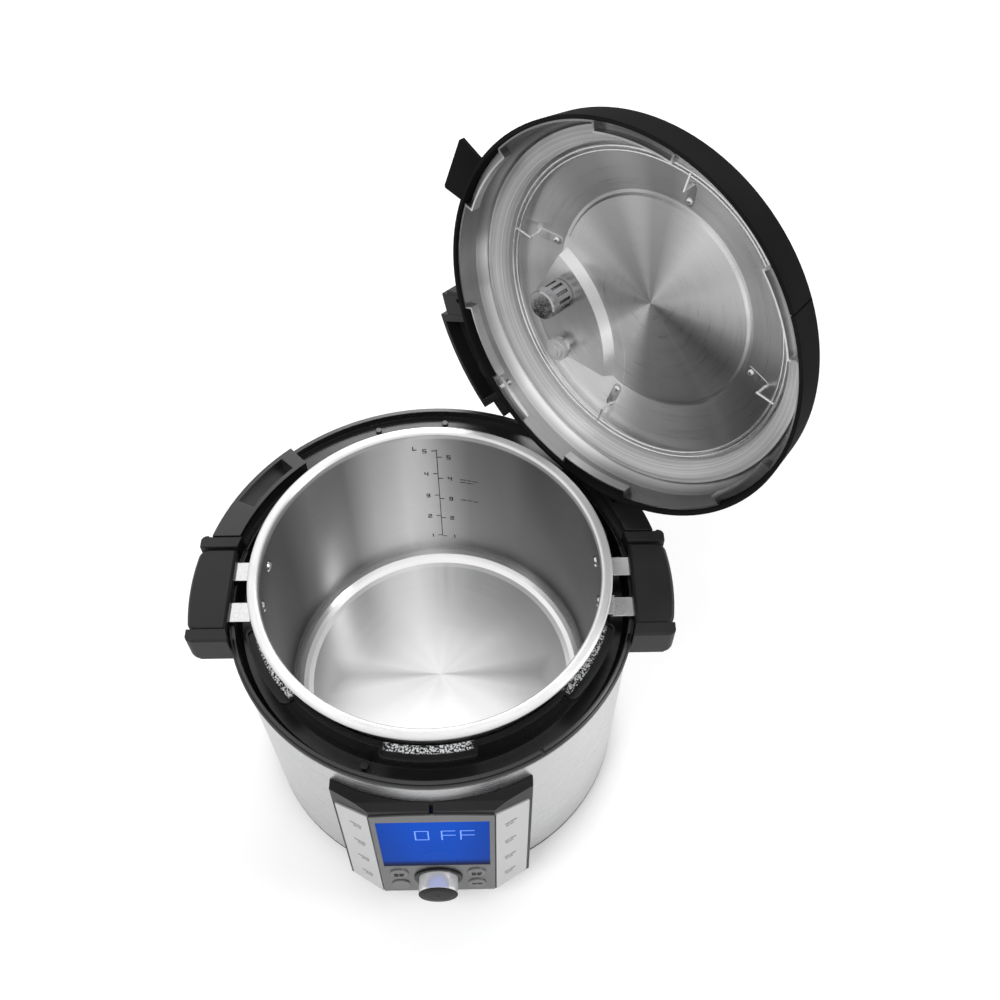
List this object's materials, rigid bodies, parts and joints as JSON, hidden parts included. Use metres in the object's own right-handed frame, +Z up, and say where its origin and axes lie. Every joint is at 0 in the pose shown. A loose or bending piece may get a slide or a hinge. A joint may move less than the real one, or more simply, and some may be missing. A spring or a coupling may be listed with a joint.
{
  "type": "electric pressure cooker",
  "caption": "Round steel electric pressure cooker with a lift-out pot, tilted front control panel and dial, side handles and a domed lid standing open in a slot of the rear rim.",
  "frame": {"origin": "centre of the round base on the plane of the four feet", "axes": "+Z up along the axis of the pot, -Y towards the control panel, +X towards the right side handle"},
  "size_m": [0.3797, 0.3752, 0.4601],
  "materials": {
    "base_black": "satin",
    "foot_rubber": "matte",
    "shell_steel": "brushed round the body",
    "collar_black": "semi-gloss",
    "cradle_black": "fine texture",
    "housing_black": "satin",
    "inlet_black": "satin",
    "cup_clear": "clear smoke plastic",
    "well_dark": "dark speckled coating",
    "heater_alu": "cast",
    "element_steel": "heat tinted",
    "sensor_alu": "satin",
    "bracket_zinc": "zinc plated",
    "fuse_white": "ceramic",
    "board_green": "solder mask",
    "panel_silver": "satin silver",
    "key_silver": "satin silver",
    "window_blue": "lit blue display",
    "module_grey": "satin",
    "ring_black": "gloss",
    "knob_chrome": "polished",
    "knob_face": "semi-gloss",
    "shaft_steel": "turned",
    "encoder_grey": "satin",
    "button_silver": "satin silver",
    "pot_steel": "brushed round the wall",
    "disc_steel": "turned",
    "strap_steel": "polished",
    "grip_black": "fine texture",
    "rivet_steel": "polished",
    "lid_black": "semi-gloss",
    "lid_trim_black": "satin",
    "lid_steel": "satin",
    "seal_grey": "translucent silicone",
    "rack_steel": "polished wire",
    "shield_steel": "polished",
    "pipe_steel": "turned",
    "weight_black": "satin",
    "release_dark": "satin",
    "float_steel": "turned",
    "float_silicone": "translucent silicone",
    "lock_steel": "polished"
  },
  "bodies": {
    "base": {"base_pan": "base_black", "foot_front_left": "foot_rubber", "foot_front_right": "foot_rubber", "foot_rear_left": "foot_rubber", "foot_rear_right": "foot_rubber", "steel_shell": "shell_steel", "collar": "collar_black", "handle_cradle_left": "cradle_black", "handle_cradle_right": "cradle_black", "rear_housing": "housing_black", "power_inlet": "inlet_black", "outer_pot": "well_dark", "heater_plate": "heater_alu", "heater_element": "element_steel", "sensor_bracket": "bracket_zinc", "thermal_fuse": "fuse_white", "power_board": "board_green", "control_housing": "housing_black", "face_panel": "panel_silver", "key_panel_left": "key_silver", "key_panel_right": "key_silver", "display_window": "window_blue", "display_module": "module_grey", "control_board": "board_green", "dial_ring": "ring_black", "dial_encoder": "encoder_grey"},
    "drip_cup": {"condensate_cup": "cup_clear"},
    "heat_sensor": {"sensor_cap": "sensor_alu"},
    "dial": {"dial_body": "knob_chrome", "dial_cap": "knob_face", "dial_shaft": "shaft_steel"},
    "key_upper_left": {"button_upper_left": "button_silver"},
    "key_lower_left": {"button_lower_left": "button_silver"},
    "key_upper_right": {"button_upper_right": "button_silver"},
    "key_lower_right": {"button_lower_right": "button_silver"},
    "cooking_pot": {"pot_vessel": "pot_steel", "pot_base_disc": "disc_steel", "pot_bracket_left": "strap_steel", "pot_bracket_right": "strap_steel", "pot_grip_left": "grip_black", "pot_grip_right": "grip_black", "pot_rivet_left_front": "rivet_steel", "pot_rivet_left_rear": "rivet_steel", "pot_rivet_right_front": "rivet_steel", "pot_rivet_right_rear": "rivet_steel"},
    "lid": {"lid_cover": "lid_black", "lid_handle": "lid_trim_black", "lid_rear_block": "lid_trim_black", "lid_steel": "lid_steel", "sealing_ring": "seal_grey", "ring_rack": "rack_steel", "steam_shield": "shield_steel", "steam_pipe": "pipe_steel", "lid_lock_plate": "lock_steel"},
    "pressure_weight": {"steam_weight": "weight_black"},
    "release_key": {"release_button": "release_dark"},
    "float": {"float_valve": "float_steel", "float_seal": "float_silicone"},
    "lock_pin": {"lid_lock_pin": "lock_steel"}
  },
  "joints": [
    {"name": "pot_lift", "type": "slide", "parent": "base", "child": "cooking_pot", "axis": [0, 0, 1], "range_m": [0, 0.16]},
    {"name": "lid_lift", "type": "slide", "parent": "base", "child": "lid", "axis": [0.101, 0.108, 0.989], "range_m": [0, 0.08]},
    {"name": "dial_turn", "type": "hinge", "parent": "base", "child": "dial", "pos_m": [0, -0.1451, 0.05339], "axis": [0, -0.9976, 0.0698], "continuous": true},
    {"name": "press_upper_left", "type": "slide", "parent": "base", "child": "key_upper_left", "axis": [0, 0.9976, -0.0698], "range_m": [0, 0.0008], "stiffness_N_per_m": 400},
    {"name": "press_lower_left", "type": "slide", "parent": "base", "child": "key_lower_left", "axis": [0, 0.9976, -0.0698], "range_m": [0, 0.0008], "stiffness_N_per_m": 400},
    {"name": "press_upper_right", "type": "slide", "parent": "base", "child": "key_upper_right", "axis": [0, 0.9976, -0.0698], "range_m": [0, 0.0008], "stiffness_N_per_m": 400},
    {"name": "press_lower_right", "type": "slide", "parent": "base", "child": "key_lower_right", "axis": [0, 0.9976, -0.0698], "range_m": [0, 0.0008], "stiffness_N_per_m": 400},
    {"name": "cup_pull", "type": "slide", "parent": "base", "child": "drip_cup", "axis": [0, 1, 0], "range_m": [0, 0.06]},
    {"name": "sensor_press", "type": "slide", "parent": "base", "child": "heat_sensor", "axis": [0, 0, -1], "range_m": [0, 0.0015], "stiffness_N_per_m": 600},
    {"name": "weight_lift", "type": "slide", "parent": "lid", "child": "pressure_weight", "axis": [0.6783, 0.7198, -0.1478], "range_m": [0, 0.003]},
    {"name": "release_press", "type": "slide", "parent": "lid", "child": "release_key", "axis": [-0.6783, -0.7198, 0.1478], "range_m": [0, 0.002], "stiffness_N_per_m": 500},
    {"name": "float_rise", "type": "slide", "parent": "lid", "child": "float", "axis": [0.6783, 0.7198, -0.1478], "range_m": [0, 0.0035]},
    {"name": "lock_pin_press", "type": "slide", "parent": "lid", "child": "lock_pin", "axis": [0.6783, 0.7198, -0.1478], "range_m": [0, 0.0015], "stiffness_N_per_m": 300}
  ]
}
